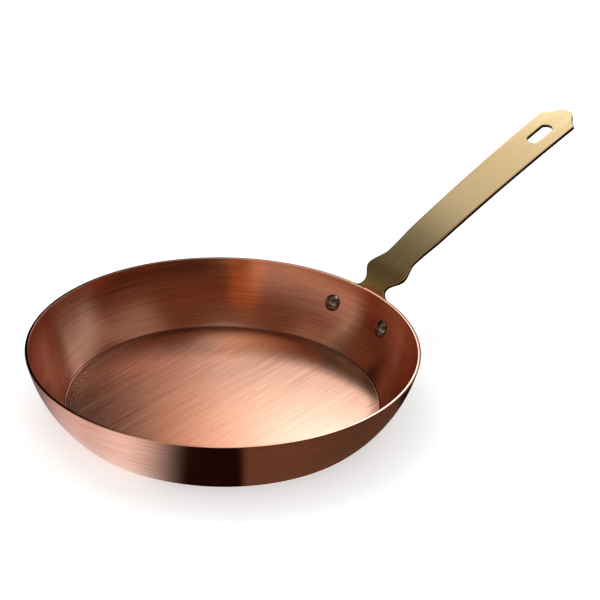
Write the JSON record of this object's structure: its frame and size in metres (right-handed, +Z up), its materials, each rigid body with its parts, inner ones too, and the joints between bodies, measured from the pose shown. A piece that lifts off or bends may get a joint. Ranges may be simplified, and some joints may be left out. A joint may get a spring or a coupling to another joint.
{
  "type": "frying pan",
  "caption": "Shallow frying pan of copper sheet with a flat floor and a bowed, sloping wall; a long brass strip handle with a hanging slot is riveted to the wall.",
  "frame": {"origin": "centre of the underside of the base", "axes": "+Z up, out of the pan's mouth; +X from the pan's axis along the handle"},
  "size_m": [0.4499, 0.26, 0.1256],
  "materials": {
    "copper": "brushed copper",
    "brass": "satin brass",
    "rivet_steel": "polished"
  },
  "bodies": {
    "root": {"pan_body": "copper", "handle": "brass", "left_rivet": "rivet_steel", "right_rivet": "rivet_steel"}
  },
  "joints": []
}
